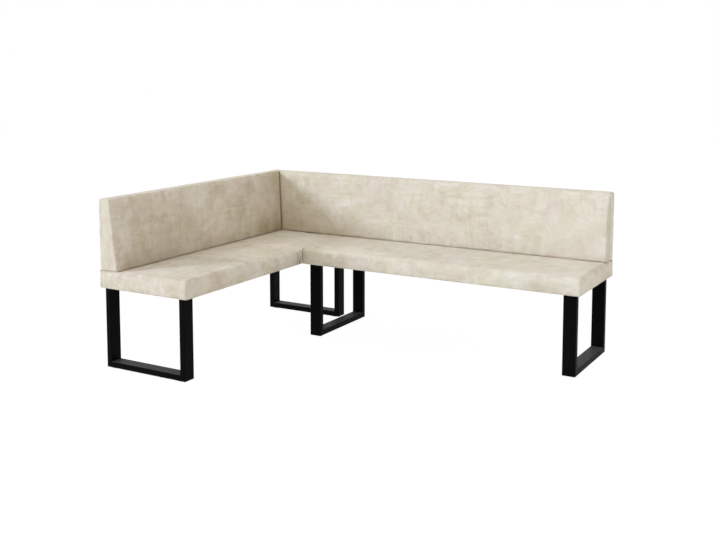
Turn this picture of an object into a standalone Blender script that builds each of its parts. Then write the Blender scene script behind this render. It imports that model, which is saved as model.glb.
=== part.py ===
"""Upholstered corner bench: two seat boxes and two wedge backs on four steel runner frames.

Metres, +Z up. The origin is on the floor, under the middle of the bench's outline.
Each arm has an empty at the outer rear corner. In an arm's own axes X runs along the arm,
Y = 0 is the rear face and the front of the seat is at -SEAT_DEPTH.
"""
import math

import bmesh
import bpy
from mathutils import Matrix, Vector

# Outline
LONG_ARM = 2.100
SHORT_ARM = 1.520
SEAT_DEPTH = 0.540
SEAT_UNDERSIDE = 0.406
SEAT_THICKNESS = 0.089
BACK_HEIGHT = 0.351
BACK_FOOT = 0.122
BACK_TOP = 0.071

# Upholstery
FABRIC = 0.002
SEAT_CROWN = 0.006
SIDE_CROWN = 0.005
BACK_CROWN = 0.007
BACK_END_CROWN = 0.004
SEAT_EDGE_RADIUS = 0.016
BACK_EDGE_RADIUS = 0.016
CORNER_SHARE = 0.6
SEAM_SHARE = 0.3
EDGE_SEGMENTS = 3
SWELL_POWER = 0.7
CROWN_REACH = 0.180
BULGE_REACH = 0.080
BULGE_DEPTH = 0.030
SEAT_HEM = 0.030
BACK_HEM = 0.018
WADDING = 0.006
BACK_FRONT_FOAM = 0.030
BACK_TOP_FOAM = 0.014

# Timber
RAIL_HEIGHT = 0.034
REAR_RAIL = 0.090
FRONT_RAIL = 0.045
END_RAIL = 0.088
CROSS_RAIL = 0.045
BAYS = 3
SEAT_BOARD = 0.009
SOLE = 0.018
RIB = 0.018
TOP_RAIL = 0.022
BACK_PANEL = 0.006
BACKING = 0.003
RIB_SPACING = 0.420
DUST_COVER = 0.001
DUST_COVER_INSET = 0.012

# Runner frames
TUBE_WIDTH = 0.067
TUBE_DEPTH = 0.030
TUBE_WALL = 0.002
TUBE_RADIUS = 0.003
RUNNER_FRONT_INSET = 0.0378
RUNNER_REAR_INSET = 0.0082
RUNNER_END_INSET = 0.027
TOP_PLATE = 0.004
GLIDE_HEIGHT = 0.003
GLIDE_WIDTH = 0.050
GLIDE_LENGTH = 0.036
GLIDE_RADIUS = 0.006
GLIDE_INSET = 0.020

# Fasteners
BOLT = 0.008
BOLT_HEAD = 0.016
BOLT_HEAD_HEIGHT = 0.004
BOLT_SOCKET = 0.005
BOLT_SOCKET_DEPTH = 0.0025
HEAD_FLAT_SHARE = 0.6
HEAD_RIM_SHARE = 0.4
HEAD_SHOULDER_SHARE = 0.88
HEAD_SHOULDER_HEIGHT = 0.75
LEG_BOLT_LENGTH = 0.034
LEG_BOLT_POST_GAP = 0.085
BACK_BOLT_BITE = 0.015
BACK_BOLT_END_INSET = 0.200
BACK_BOLTS_SHORT = 2
BACK_BOLTS_LONG = 3
SCREW = 0.005
SCREW_HEAD = 0.011
SCREW_HEAD_HEIGHT = 0.003
SCREW_SOCKET = 0.003
SCREW_SOCKET_DEPTH = 0.0015
SCREW_TIP_SHARE = 0.25
SCREW_LENGTH = 0.026
JOINING_PLATE_WIDTH = 0.046
JOINING_PLATE_LENGTH = 0.120
JOINING_PLATE = 0.003
JOINING_SCREW_INSET = 0.017
JOINING_SCREW_SPREAD = 0.090
JOINING_PLACE = 0.280

# Clearances
GAP = 0.0003
FOAM_GAP = 0.0012
SIDES = 12
SHARP = math.radians(40.0)
DOWNWARD = -0.9

# Sizes and heights worked out from the ones above
RUNNER_LENGTH = SEAT_DEPTH - RUNNER_REAR_INSET - RUNNER_FRONT_INSET
SEAT_TOP = SEAT_UNDERSIDE + SEAT_THICKNESS
BACK_UNDERSIDE = SEAT_TOP + GAP
BACK_UPPER = SEAT_TOP + BACK_HEIGHT
CORE_INSET = FABRIC + WADDING + 2.0 * GAP
RAIL_BOTTOM = SEAT_UNDERSIDE + FABRIC + GAP
RAIL_TOP = RAIL_BOTTOM + RAIL_HEIGHT
BOARD_BOTTOM = RAIL_TOP + GAP
BOARD_TOP = BOARD_BOTTOM + SEAT_BOARD
DUST_TOP = SEAT_UNDERSIDE - GAP
DUST_BOTTOM = DUST_TOP - DUST_COVER
PLATE_TOP = DUST_BOTTOM - GAP
PLATE_BOTTOM = PLATE_TOP - TOP_PLATE
POST_TOP = PLATE_BOTTOM - GAP
RUNNER_BOTTOM = GLIDE_HEIGHT + GAP
SOLE_BOTTOM = BACK_UNDERSIDE + FABRIC + GAP
SOLE_TOP = SOLE_BOTTOM + SOLE

# Which way each arm runs from the corner, in its own X
SHORT = -1.0
LONG = 1.0


def clear_scene():
    """Remove whatever the file holds."""
    for obj in list(bpy.data.objects):
        bpy.data.objects.remove(obj, do_unlink=True)


def material(name, colour, roughness, metallic=0.0):
    """A plain material with a colour, a roughness and a metallic value."""
    made = bpy.data.materials.new(name)
    made.use_nodes = True
    shader = made.node_tree.nodes["Principled BSDF"]
    shader.inputs["Base Color"].default_value = (*colour, 1.0)
    shader.inputs["Roughness"].default_value = roughness
    shader.inputs["Metallic"].default_value = metallic
    made.diffuse_color = (*colour, 1.0)
    return made


def arm_empty(name, turn):
    """The outer rear corner of the bench, turned so that X runs along one arm."""
    empty = bpy.data.objects.new(name, None)
    bpy.context.scene.collection.objects.link(empty)
    empty.location = (-(LONG_ARM + SIDE_CROWN) / 2.0, (SHORT_ARM + SIDE_CROWN) / 2.0, 0.0)
    empty.rotation_euler = (0.0, 0.0, turn)
    return empty


def add(name, shape, finish, parent, location=(0.0, 0.0, 0.0)):
    """Put a mesh or a bmesh in the scene as one named piece of an arm."""
    if isinstance(shape, bmesh.types.BMesh):
        mesh = bpy.data.meshes.new(name)
        shape.to_mesh(mesh)
        shape.free()
    else:
        mesh = shape
    if not mesh.materials:
        mesh.materials.append(finish)
    mesh.shade_smooth()
    mesh.set_sharp_from_angle(angle=SHARP)
    obj = bpy.data.objects.new(name, mesh)
    bpy.context.scene.collection.objects.link(obj)
    obj.parent = parent
    obj.location = location
    return obj


def settle(obj):
    """Make an object's modifiers part of its mesh."""
    bpy.context.view_layer.update()
    evaluated = obj.evaluated_get(bpy.context.evaluated_depsgraph_get())
    mesh = bpy.data.meshes.new_from_object(evaluated)
    mesh.name = obj.name
    obj.modifiers.clear()
    obj.data = mesh


def box(bm, low, high):
    """Add a block between two corners."""
    low, high = Vector(low), Vector(high)
    size = high - low
    place = Matrix.Translation((low + high) / 2.0) @ Matrix.Diagonal((*size, 1.0))
    bmesh.ops.create_cube(bm, size=1.0, matrix=place)


def block(low, high):
    """A block alone."""
    bm = bmesh.new()
    box(bm, low, high)
    return bm


def turned(bm, profile, centre, hexagons=0):
    """Add a round piece: (radius, height) points turned about an upright axis, closed at both ends.

    The first rings can be hexagons, as a key's socket is: every other point of one is at a flat's middle.
    """
    rings = []
    for number, (radius, height) in enumerate(profile):
        ring = []
        for step in range(SIDES):
            angle = 2.0 * math.pi * (step + 0.5) / SIDES
            at_flat = number < hexagons and step % 2 == 1
            reach = radius * math.cos(math.pi / 6.0) if at_flat else radius
            ring.append(bm.verts.new((centre[0] + reach * math.cos(angle),
                                      centre[1] + reach * math.sin(angle), height)))
        rings.append(ring)
    for lower, upper in zip(rings, rings[1:]):
        for step in range(SIDES):
            after = (step + 1) % SIDES
            bm.faces.new((lower[step], lower[after], upper[after], upper[step]))
    bm.faces.new(list(reversed(rings[0])))
    bm.faces.new(rings[-1])


def cutter_object(shape, parent, location=(0.0, 0.0, 0.0)):
    """A helper that cuts another piece."""
    mesh = bpy.data.meshes.new("cutter")
    shape.to_mesh(mesh)
    shape.free()
    cutter = bpy.data.objects.new("cutter", mesh)
    bpy.context.scene.collection.objects.link(cutter)
    cutter.parent = parent
    cutter.location = location
    cutter.hide_render = True
    cutter.display_type = "WIRE"
    return cutter


def drill(obj, spots, diameter, low, high):
    """Cut round upright holes through an object at (x, y) spots of its own axes."""
    shape = bmesh.new()
    for spot in spots:
        turned(shape, ((diameter / 2.0, low), (diameter / 2.0, high)), spot)
    subtract(obj, cutter_object(shape, obj.parent, obj.location))


def subtract(obj, cutter):
    """Take one object's shape away from another and remove the cutter."""
    cut = obj.modifiers.new("Cut", "BOOLEAN")
    cut.operation = "DIFFERENCE"
    cut.solver = "EXACT"
    cut.object = cutter
    settle(obj)
    bpy.data.objects.remove(cutter, do_unlink=True)


def ease(distance, reach):
    """Rise smoothly from 0 at an edge to 1 at a distance from it."""
    return math.sin(0.5 * math.pi * min(max(distance / reach, 0.0), 1.0))


def cut_lines(bm, places, axis):
    """Add edge loops across a form, square to one axis."""
    normal = Vector((0.0, 0.0, 0.0))
    normal[axis] = 1.0
    for place in places:
        point = Vector((0.0, 0.0, 0.0))
        point[axis] = place
        geometry = bm.verts[:] + bm.edges[:] + bm.faces[:]
        bmesh.ops.bisect_plane(bm, geom=geometry, plane_co=point, plane_no=normal, dist=1e-6)


def spread(first, last, count):
    """Evenly spaced places from first to last."""
    return [first + (last - first) * step / (count - 1) for step in range(count)]


def rounded(bm, shares, radius):
    """Round a form's edges, each by its own share of one radius."""
    layer = bm.edges.layers.float.new("bevel_weight_edge")
    for edge in bm.edges:
        edge[layer] = shares(edge)
    mesh = bpy.data.meshes.new("form")
    bm.to_mesh(mesh)
    bm.free()
    form = bpy.data.objects.new("form", mesh)
    bpy.context.scene.collection.objects.link(form)
    bevel = form.modifiers.new("Rounding", "BEVEL")
    bevel.limit_method = "WEIGHT"
    bevel.width = radius
    bevel.segments = EDGE_SEGMENTS
    settle(form)
    result = bmesh.new()
    result.from_mesh(form.data)
    bpy.data.objects.remove(form, do_unlink=True)
    return result


def opened(bm, hem_lines, floor):
    """Cut the opening inside a turned-under hem: (x0, x1) and (y0, y1) at the form's flat underside."""
    (x0, x1), (y0, y1) = hem_lines
    cut_lines(bm, (x0, x1), 0)
    cut_lines(bm, (y0, y1), 1)
    bm.normal_update()
    inside = []
    for face in bm.faces:
        middle = face.calc_center_median()
        within = x0 < middle.x < x1 and y0 < middle.y < y1
        if within and face.normal.z < DOWNWARD and middle.z < floor + FABRIC:
            inside.append(face)
    bmesh.ops.delete(bm, geom=inside, context="FACES")


def fabric_shell(name, bm, finish, parent):
    """A cover of one cloth thickness inside a form's surface."""
    obj = add(name, bm, finish, parent)
    cloth = obj.modifiers.new("Cloth", "SOLIDIFY")
    cloth.thickness = FABRIC
    cloth.offset = -1.0
    settle(obj)
    return obj


class Seat:
    """One seat box in its arm's own axes."""

    def __init__(self, start, end, crown_start, crown_end, bulge_start, bulge_end, free_side):
        self.start = start
        self.end = end
        self.crown = (crown_start, crown_end)
        self.bulge = (bulge_start, bulge_end)
        self.free_side = free_side
        self.free_end = start if free_side < 0 else end

    def form(self, inset=0.0):
        """The box's surface, or one inside it: rounded edges, a crowned top, sides that swell."""
        low = Vector((self.start + inset, -SEAT_DEPTH + inset, SEAT_UNDERSIDE + inset))
        high = Vector((self.end - inset, -inset, SEAT_TOP - inset))
        free_x = high.x if self.free_side > 0 else low.x

        def shares(edge):
            """How round each edge of the plain block becomes."""
            first, second = (vertex.co for vertex in edge.verts)
            middle = (first + second) / 2.0
            at_front = abs(middle.y - low.y) < GAP
            at_rear = abs(middle.y - high.y) < GAP
            at_top = abs(middle.z - high.z) < GAP
            at_bottom = abs(middle.z - low.z) < GAP
            at_free_end = abs(middle.x - free_x) < GAP
            at_end = abs(middle.x - low.x) < GAP or abs(middle.x - high.x) < GAP
            on_one_face = at_front + at_rear + at_top + at_bottom + at_end == 1
            if on_one_face:
                return 0.0
            if at_front and at_free_end:
                return CORNER_SHARE
            if at_top and (at_free_end or at_front and self.bulge[0] < middle.x < self.bulge[1]):
                return 1.0
            return SEAM_SHARE

        bm = block(low, high)
        cut_lines(bm, [place for place in self.bulge if low.x + GAP < place < high.x - GAP], 0)
        bm = rounded(bm, shares, SEAT_EDGE_RADIUS - inset)
        cut_lines(bm, self.long_lines(), 0)
        rise = CROWN_REACH / 2.0
        middle = -(SEAT_DEPTH + BACK_FOOT) / 2.0
        cut_lines(bm, (-BACK_FOOT, -BACK_FOOT - rise, middle, -SEAT_DEPTH + rise), 1)
        cut_lines(bm, (SEAT_UNDERSIDE + SEAT_THICKNESS / 2.0,), 2)
        for vertex in bm.verts:
            vertex.co = self.swollen(vertex.co)
        return bm

    def long_lines(self):
        """Where the loops across the box lie: close at the ends, wide between them."""
        first, last = self.crown[0] + CROWN_REACH, self.crown[1] - CROWN_REACH
        places = spread(first, last, 4)
        places += [(self.crown[0] + first) / 2.0, (self.crown[1] + last) / 2.0]
        places += [place for place in self.crown if self.start + GAP < place < self.end - GAP]
        return places

    def swollen(self, place):
        """Where a point of the plain block's surface lies on the padded one."""
        x, y, z = place
        height = (z - SEAT_UNDERSIDE) / SEAT_THICKNESS
        top = ease(x - self.crown[0], CROWN_REACH) * ease(self.crown[1] - x, CROWN_REACH)
        top *= ease(y + SEAT_DEPTH, CROWN_REACH) * ease(-BACK_FOOT - y, CROWN_REACH)
        lift = SEAT_CROWN * top * height
        girth = math.sin(math.pi * min(max(height, 0.0), 1.0))
        near_front = 1.0 - min((y + SEAT_DEPTH) / BULGE_DEPTH, 1.0)
        near_end = 1.0 - min(abs(x - self.free_end) / BULGE_DEPTH, 1.0)
        along = ease(x - self.bulge[0], BULGE_REACH) * ease(self.bulge[1] - x, BULGE_REACH)
        across = ease(y + SEAT_DEPTH, BULGE_REACH) * ease(-y, BULGE_REACH)
        forward = -SIDE_CROWN * girth * near_front * along
        outward = self.free_side * SIDE_CROWN * girth * near_end * across
        return Vector((x + outward, y + forward, z + lift))

    def core(self, low, high, clearance=0.0):
        """The timber's outline as the corners of a block between two heights."""
        inset = CORE_INSET - clearance
        return ((self.start + inset, -SEAT_DEPTH + inset, low), (self.end - inset, -inset, high))


def seat_pieces(name, seat, arm, finishes):
    """The cover, foam, board, rails and dust cover of one seat box."""
    cover_form = seat.form()
    hem = SEAT_HEM
    opened(cover_form, ((seat.start + hem, seat.end - hem), (-SEAT_DEPTH + hem, -hem)), SEAT_UNDERSIDE)
    cover = fabric_shell(name + "_seat_cover", cover_form, finishes["fabric"], arm)

    foam = add(name + "_seat_foam", seat.form(FABRIC + FOAM_GAP), finishes["foam"], arm)
    low, high = seat.core(SEAT_UNDERSIDE - FABRIC, BOARD_TOP + GAP, GAP)
    subtract(foam, cutter_object(block(low, high), arm))

    low, high = seat.core(BOARD_BOTTOM, BOARD_TOP)
    board = add(name + "_seat_board", block(low, high), finishes["timber"], arm)

    low, high = seat.core(RAIL_BOTTOM, RAIL_TOP)
    frame = add(name + "_seat_frame", block(low, high), finishes["timber"], arm)
    bays = bmesh.new()
    width = (high[0] - low[0] - 2.0 * END_RAIL - (BAYS - 1) * CROSS_RAIL) / BAYS
    for bay in range(BAYS):
        x = low[0] + END_RAIL + bay * (width + CROSS_RAIL)
        box(bays, (x, low[1] + FRONT_RAIL, low[2] - FABRIC),
            (x + width, high[1] - REAR_RAIL, high[2] + FABRIC))
    subtract(frame, cutter_object(bays, arm))

    inset = DUST_COVER_INSET
    sheet = block((seat.start + inset, -SEAT_DEPTH + inset, DUST_BOTTOM),
                  (seat.end - inset, -inset, DUST_TOP))
    dust = add(name + "_seat_dust_cover", sheet, finishes["lining"], arm)
    return {"cover": cover, "foam": foam, "board": board, "frame": frame, "dust": dust}


def back_depth(height):
    """How far the back's inclined front face stands from its rear face at a height."""
    share = (height - SEAT_TOP) / BACK_HEIGHT
    return BACK_FOOT + (BACK_TOP - BACK_FOOT) * share


def mitred(section, free_x, side, corner_inset):
    """A prism of (y, z) points along an arm, square at its free end and mitred at the corner."""
    bm = bmesh.new()
    free = [bm.verts.new((free_x, y, z)) for y, z in section]
    slip = corner_inset * math.sqrt(2.0)
    corner = [bm.verts.new((side * (slip - y), y, z)) for y, z in section]
    bm.faces.new(free)
    bm.faces.new(list(reversed(corner)))
    for step, _ in enumerate(section):
        after = (step + 1) % len(section)
        bm.faces.new((free[after], free[step], corner[step], corner[after]))
    bmesh.ops.recalc_face_normals(bm, faces=bm.faces[:])
    return bm


class Back:
    """One wedge back in its arm's own axes, from the arm's free end to the mitre."""

    def __init__(self, free_x, side):
        self.free_x = free_x
        self.side = side
        self.tilt = math.atan2(BACK_FOOT - BACK_TOP, BACK_HEIGHT)

    def section(self, rear, front, low, high):
        """The wedge's outline between two heights, inset from its rear and front faces."""
        slant = front / math.cos(self.tilt)
        return [(-rear, low), (slant - back_depth(low), low), (slant - back_depth(high), high), (-rear, high)]

    def form(self, inset=0.0):
        """The back's surface, or one inside it, with rounded edges and a swollen front and end."""
        section = self.section(inset, inset, BACK_UNDERSIDE + inset, BACK_UPPER - inset)
        low, high = section[0][1], section[2][1]
        free_x = self.free_x - self.side * inset

        def shares(edge):
            """How round each edge of the plain wedge becomes."""
            first, second = (vertex.co for vertex in edge.verts)
            middle = (first + second) / 2.0
            at_rear = abs(middle.y + inset) < GAP
            at_free_end = abs(first.x - free_x) < GAP and abs(second.x - free_x) < GAP
            lengthwise = abs(first.x - second.x) > 2.0 * BACK_FOOT
            if at_rear and not lengthwise and not at_free_end:
                return 0.0
            if lengthwise and abs(middle.z - high) < GAP:
                return CORNER_SHARE if at_rear else 1.0
            if at_free_end and not at_rear and abs(middle.z - low) > GAP:
                return CORNER_SHARE
            return SEAM_SHARE

        wedge = mitred(section, free_x, self.side, GAP + inset)
        bm = rounded(wedge, shares, BACK_EDGE_RADIUS - inset)
        inner_x = self.side * BACK_FOOT
        reach = self.side * CROWN_REACH
        places = spread(self.free_x - reach, inner_x + reach, 5)
        places += [self.free_x - reach / 2.0, inner_x + reach / 2.0]
        cut_lines(bm, places, 0)
        cut_lines(bm, [BACK_UNDERSIDE + BACK_HEIGHT * share for share in (0.2, 0.5, 0.8)], 2)
        cut_lines(bm, (-BACK_TOP / 2.0,), 1)
        for vertex in bm.verts:
            vertex.co = self.swollen(vertex.co)
        return bm

    def swollen(self, place):
        """Where a point of the plain wedge's surface lies on the padded one."""
        x, y, z = place
        height = min(max((z - BACK_UNDERSIDE) / BACK_HEIGHT, 0.0), 1.0)
        depth = min(max(-y / back_depth(z), 0.0), 1.0)
        girth = math.sin(math.pi * height)
        from_end = self.side * (self.free_x - x)
        from_corner = self.side * x + y
        along = ease(from_end, CROWN_REACH) * ease(from_corner, CROWN_REACH)
        swell = BACK_CROWN * girth ** SWELL_POWER * along * max(2.0 * depth - 1.0, 0.0)
        near_end = 1.0 - min(from_end / BULGE_DEPTH, 1.0)
        outward = self.side * BACK_END_CROWN * girth * near_end * math.sin(math.pi * depth)
        return Vector((x + outward, y - swell * math.cos(self.tilt), z + swell * math.sin(self.tilt)))


def back_pieces(name, back, arm, finishes):
    """The cover, foam, front panel and timber frame of one back; gives the frame."""
    free_x, side = back.free_x, back.side
    cover_form = back.form()
    hem_x = sorted((free_x - side * BACK_HEM, side * (BACK_FOOT + BACK_HEM)))
    opened(cover_form, (hem_x, (-BACK_FOOT + BACK_HEM, -BACK_HEM)), BACK_UNDERSIDE)
    fabric_shell(name + "_back_cover", cover_form, finishes["fabric"], arm)

    foam = add(name + "_back_foam", back.form(FABRIC + FOAM_GAP), finishes["foam"], arm)
    core_top = BACK_UPPER - FABRIC - GAP - BACK_TOP_FOAM
    core_free = free_x - side * CORE_INSET
    rear = CORE_INSET
    front = FABRIC + GAP + BACK_FRONT_FOAM
    pocket_section = back.section(rear - GAP, front - GAP, SOLE_BOTTOM - 2.0 * FABRIC, core_top + GAP)
    pocket = mitred(pocket_section, core_free + side * GAP, side, CORE_INSET - GAP)
    subtract(foam, cutter_object(pocket, arm))

    # The front panel stands on the sole and takes the sitter's weight
    slant = 1.0 / math.cos(back.tilt)
    panel_bottom = SOLE_TOP + GAP
    panel_section = [(offset * slant - back_depth(height), height) for offset, height in (
        (front + BACK_PANEL, panel_bottom), (front, panel_bottom), (front, core_top),
        (front + BACK_PANEL, core_top))]
    panel = mitred(panel_section, core_free, side, CORE_INSET)
    add(name + "_back_panel", panel, finishes["timber"], arm)

    # One glued frame: a wide sole, a top rail, upright ribs and a thin rear board
    inner = front + BACK_PANEL + GAP
    frame_section = [(-rear, SOLE_BOTTOM), (front * slant - back_depth(SOLE_BOTTOM), SOLE_BOTTOM),
                     (front * slant - back_depth(SOLE_TOP), SOLE_TOP),
                     (inner * slant - back_depth(SOLE_TOP), SOLE_TOP),
                     (inner * slant - back_depth(core_top), core_top), (-rear, core_top)]
    shape = mitred(frame_section, core_free, side, CORE_INSET)
    frame = add(name + "_back_frame", shape, finishes["timber"], arm)
    first = core_free - side * RIB
    last = side * (BACK_FOOT + RIB)
    count = max(1, round(abs(last - first) / RIB_SPACING))
    width = (abs(last - first) - (count - 1) * RIB) / count
    bays = bmesh.new()
    for bay in range(count):
        x = min(first, last) + bay * (width + RIB)
        box(bays, (x, -2.0 * BACK_FOOT, SOLE_TOP), (x + width, -rear - BACKING, core_top - TOP_RAIL))
    subtract(frame, cutter_object(bays, arm))
    return frame


def tube_outline(width, depth, radius):
    """A rounded rectangle as points round its middle."""
    points = []
    for quarter, (sx, sy) in enumerate(((1, 1), (-1, 1), (-1, -1), (1, -1))):
        for step in range(3):
            angle = 0.5 * math.pi * (quarter + step / 2.0)
            points.append((sx * (width / 2.0 - radius) + radius * math.cos(angle),
                           sy * (depth / 2.0 - radius) + radius * math.sin(angle)))
    return points


def square_tube(start, end, to_place):
    """A hollow tube. Its end cuts give a place along it for each offset across it."""
    bm = bmesh.new()
    outer = tube_outline(TUBE_WIDTH, TUBE_DEPTH, TUBE_RADIUS)
    inner = tube_outline(TUBE_WIDTH - 2.0 * TUBE_WALL, TUBE_DEPTH - 2.0 * TUBE_WALL,
                         TUBE_RADIUS - TUBE_WALL)
    loops = []
    for outline, cut in ((outer, start), (outer, end), (inner, end), (inner, start)):
        loops.append([bm.verts.new(to_place(across, cut(offset), offset)) for across, offset in outline])
    for here, there in zip(loops, loops[1:] + loops[:1]):
        for step, _ in enumerate(outer):
            after = (step + 1) % len(outer)
            bm.faces.new((here[step], here[after], there[after], there[step]))
    bmesh.ops.recalc_face_normals(bm, faces=bm.faces[:])
    return bm


def runner_shapes():
    """The three mitred tubes of a runner frame, about its own middle at the floor."""
    end = RUNNER_LENGTH / 2.0 - TUBE_DEPTH / 2.0
    middle = RUNNER_BOTTOM + TUBE_DEPTH / 2.0
    slip = GAP * math.sqrt(0.5)
    shapes = {}
    for name, side in (("front_post", -1.0), ("rear_post", 1.0)):
        shapes[name] = square_tube(
            lambda offset, side=side: middle - side * offset + slip, lambda offset: POST_TOP,
            lambda across, along, offset, side=side: (across, side * end + offset, along))
    shapes["foot_bar"] = square_tube(
        lambda offset: -end + offset + slip, lambda offset: end - offset - slip,
        lambda across, along, offset: (across, along, middle + offset))
    return shapes


def head_profile(diameter, height, base):
    """The outline of a domed head from its flat face up to the face that it bears on."""
    radius = diameter / 2.0
    return ((radius * HEAD_FLAT_SHARE, base - height),
            (radius * HEAD_SHOULDER_SHARE, base - height * HEAD_SHOULDER_HEIGHT),
            (radius, base - height * HEAD_RIM_SHARE), (radius, base))


def bolt(name, spot, under_head, length, arm, finish):
    """A button-head bolt that points up from the face under its head."""
    base = under_head - GAP
    socket = BOLT_SOCKET / 2.0
    low = base - BOLT_HEAD_HEIGHT
    shape = bmesh.new()
    turned(shape, ((socket, low + BOLT_SOCKET_DEPTH), (socket, low),
                   *head_profile(BOLT_HEAD, BOLT_HEAD_HEIGHT, base), (BOLT / 2.0, base),
                   (BOLT / 2.0, base + length)), (0.0, 0.0), hexagons=2)
    bmesh.ops.recalc_face_normals(shape, faces=shape.faces[:])
    add(name, shape, finish, arm, (spot[0], spot[1], 0.0))


def screw(name, spot, under_head, arm, finish):
    """A pan-head wood screw that points up from the face under its head."""
    base = under_head - GAP
    socket = SCREW_SOCKET / 2.0
    shank = SCREW / 2.0
    low = base - SCREW_HEAD_HEIGHT
    shape = bmesh.new()
    turned(shape, ((socket, low + SCREW_SOCKET_DEPTH), (socket, low),
                   *head_profile(SCREW_HEAD, SCREW_HEAD_HEIGHT, base), (shank, base),
                   (shank, base + SCREW_LENGTH - SCREW), (shank * SCREW_TIP_SHARE, base + SCREW_LENGTH)),
           (0.0, 0.0))
    bmesh.ops.recalc_face_normals(shape, faces=shape.faces[:])
    add(name, shape, finish, arm, (spot[0], spot[1], 0.0))


def glide_mesh():
    """A plastic pad with rounded corners, about its own middle."""
    half_width, half_length = GLIDE_WIDTH / 2.0, GLIDE_LENGTH / 2.0
    shape = block((-half_width, -half_length, 0.0), (half_width, half_length, GLIDE_HEIGHT))
    upright = [edge for edge in shape.edges if abs(edge.verts[0].co.z - edge.verts[1].co.z) > GAP]
    bmesh.ops.bevel(shape, geom=upright, offset=GLIDE_RADIUS, segments=EDGE_SEGMENTS, profile=0.5,
                    affect="EDGES")
    return shape


def shared(name, shape):
    """A mesh that several objects use."""
    mesh = bpy.data.meshes.new(name)
    shape.to_mesh(mesh)
    shape.free()
    return mesh


def runner_frame(name, middle_x, arm, shapes, finishes):
    """One U-shaped runner frame with its top plate, bolts and glides; gives the bolts' places."""
    middle_y = -RUNNER_REAR_INSET - RUNNER_LENGTH / 2.0
    half = RUNNER_LENGTH / 2.0
    place = (middle_x, middle_y, 0.0)
    for part in ("front_post", "rear_post", "foot_bar"):
        add(name + "_" + part, shapes[part], finishes["steel"], arm, place)
    plate_shape = block((-TUBE_WIDTH / 2.0, -half, PLATE_BOTTOM), (TUBE_WIDTH / 2.0, half, PLATE_TOP))
    plate = add(name + "_top_plate", plate_shape, finishes["steel"], arm, place)
    reach = half - TUBE_DEPTH - LEG_BOLT_POST_GAP
    hole = BOLT + 2.0 * GAP
    drill(plate, [(0.0, -reach), (0.0, reach)], hole, PLATE_BOTTOM - TOP_PLATE, PLATE_TOP + TOP_PLATE)
    spots = []
    glide_reach = half - GLIDE_INSET - GLIDE_LENGTH / 2.0
    for end, side in (("front", -1.0), ("rear", 1.0)):
        spot = (middle_x, middle_y + side * reach)
        spots.append(spot)
        bolt(name + "_" + end + "_bolt", spot, PLATE_BOTTOM, LEG_BOLT_LENGTH, arm, finishes["zinc"])
        glide_place = (middle_x, middle_y + side * glide_reach, 0.0)
        add(name + "_" + end + "_glide", shapes["glide"], finishes["glide"], arm, glide_place)
    return spots


def joining_hardware(long_arm, short_parts, long_parts, finishes):
    """The plate under the seam between the seats, with its four screws."""
    x, y = SEAT_DEPTH, -JOINING_PLACE
    half = JOINING_PLATE_WIDTH / 2.0, JOINING_PLATE_LENGTH / 2.0
    shape = block((x - half[0], y - half[1], PLATE_TOP - JOINING_PLATE),
                  (x + half[0], y + half[1], PLATE_TOP))
    plate = add("joining_plate", shape, finishes["zinc"], long_arm)
    spread_y = (y - JOINING_SCREW_SPREAD / 2.0, y + JOINING_SCREW_SPREAD / 2.0)
    short_side = [(x - JOINING_SCREW_INSET, place) for place in spread_y]
    long_side = [(x + JOINING_SCREW_INSET, place) for place in spread_y]
    hole = SCREW + 2.0 * GAP
    drill(plate, short_side + long_side, hole, PLATE_TOP - 2.0 * JOINING_PLATE, PLATE_TOP + JOINING_PLATE)
    for number, spot in enumerate(short_side + long_side, 1):
        screw(f"joining_screw_{number}", spot, PLATE_TOP - JOINING_PLATE, long_arm, finishes["zinc"])
    # The short seat's own axes are turned a quarter from the long arm's
    turned_side = [(across, -along) for along, across in short_side]
    tip = PLATE_TOP + SCREW_LENGTH
    for spots, parts in ((turned_side, short_parts), (long_side, long_parts)):
        drill(parts["dust"], spots, hole, DUST_BOTTOM - DUST_COVER, DUST_TOP + DUST_COVER)
        drill(parts["cover"], spots, hole, SEAT_UNDERSIDE - FABRIC, SEAT_UNDERSIDE + 2.0 * FABRIC)
        drill(parts["frame"], spots, hole, RAIL_BOTTOM - FABRIC, tip + FABRIC)


def back_fixings(name, seat, arm, parts, frame, count, finishes):
    """The long bolts that come up through one seat and hold a back down on it."""
    places = spread(seat.start + BACK_BOLT_END_INSET, seat.end - BACK_BOLT_END_INSET, count)
    spots = [(x, -BACK_FOOT / 2.0) for x in places]
    hole = BOLT + 2.0 * GAP
    tip = SOLE_BOTTOM + BACK_BOLT_BITE
    drill(parts["dust"], spots, hole, DUST_BOTTOM - DUST_COVER, DUST_TOP + DUST_COVER)
    drill(parts["frame"], spots, hole, RAIL_BOTTOM - FABRIC, RAIL_TOP + FABRIC)
    drill(parts["board"], spots, hole, BOARD_BOTTOM - FABRIC, BOARD_TOP + FABRIC)
    drill(parts["foam"], spots, hole, BOARD_TOP - FABRIC, SEAT_TOP + FABRIC)
    drill(parts["cover"], spots, hole, SEAT_TOP - 2.0 * FABRIC, SEAT_TOP + FABRIC)
    drill(frame, spots, hole, SOLE_BOTTOM - FABRIC, tip + GAP)
    length = tip - DUST_BOTTOM + GAP
    for number, spot in enumerate(spots, 1):
        bolt(f"{name}_back_bolt_{number}", spot, DUST_BOTTOM, length, arm, finishes["zinc"])


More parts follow.
